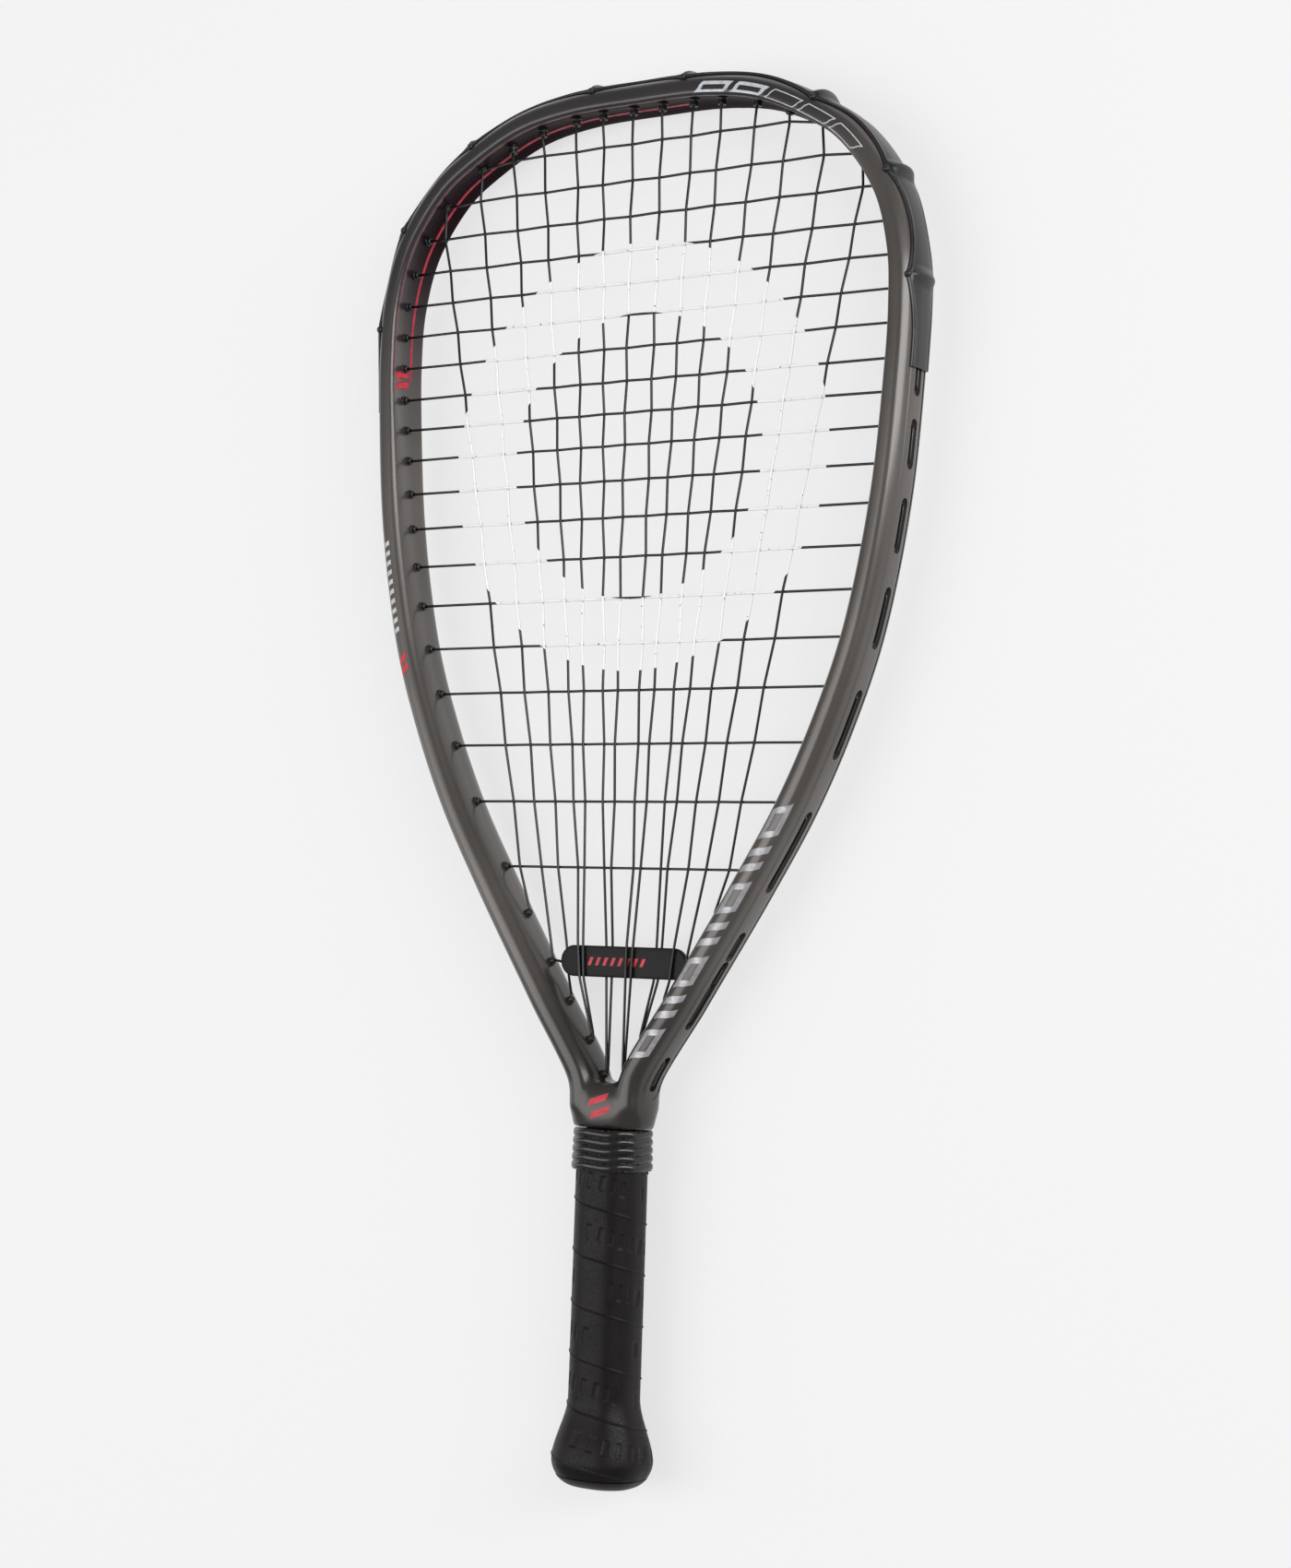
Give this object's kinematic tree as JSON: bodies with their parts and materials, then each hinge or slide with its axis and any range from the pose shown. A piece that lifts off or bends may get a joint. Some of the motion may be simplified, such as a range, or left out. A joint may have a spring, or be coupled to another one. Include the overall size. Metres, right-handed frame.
{
  "type": "racquetball racket",
  "caption": "Teardrop racket with a one-piece graphite hoop and throat, woven string bed, head guard, string damper and a wrapped eight-sided grip.",
  "frame": {"origin": "centre of the butt cap's flat end face", "axes": "+Y along the handle to the top of the head, +X across the head, +Z out of the front face, square to the strings"},
  "size_m": [0.2578, 0.5594, 0.0372],
  "materials": {
    "graphite": "satin clear-coated graphite",
    "guard": "moulded, semi-gloss",
    "nylon": "moulded",
    "string": "smooth extruded monofilament",
    "rubber": "moulded, glossy",
    "grip": "tacky wrapped band",
    "foam": "moulded structural foam"
  },
  "bodies": {
    "root": {"frame": "graphite", "head_guard": "guard", "grommet_strip_left": "nylon", "grommet_strip_right": "nylon", "string_mains": "string", "string_crosses": "string", "string_damper": "rubber", "pallet_front": "foam", "pallet_back": "foam", "butt_cap": "rubber", "grip_wrap": "grip", "grip_collar": "rubber", "throat_grommet_left_1": "nylon", "throat_grommet_left_2": "nylon", "throat_grommet_left_3": "nylon", "throat_grommet_left_4": "nylon", "throat_grommet_left_5": "nylon", "throat_grommet_right_1": "nylon", "throat_grommet_right_2": "nylon", "throat_grommet_right_3": "nylon", "throat_grommet_right_4": "nylon", "throat_grommet_right_5": "nylon"}
  },
  "joints": []
}
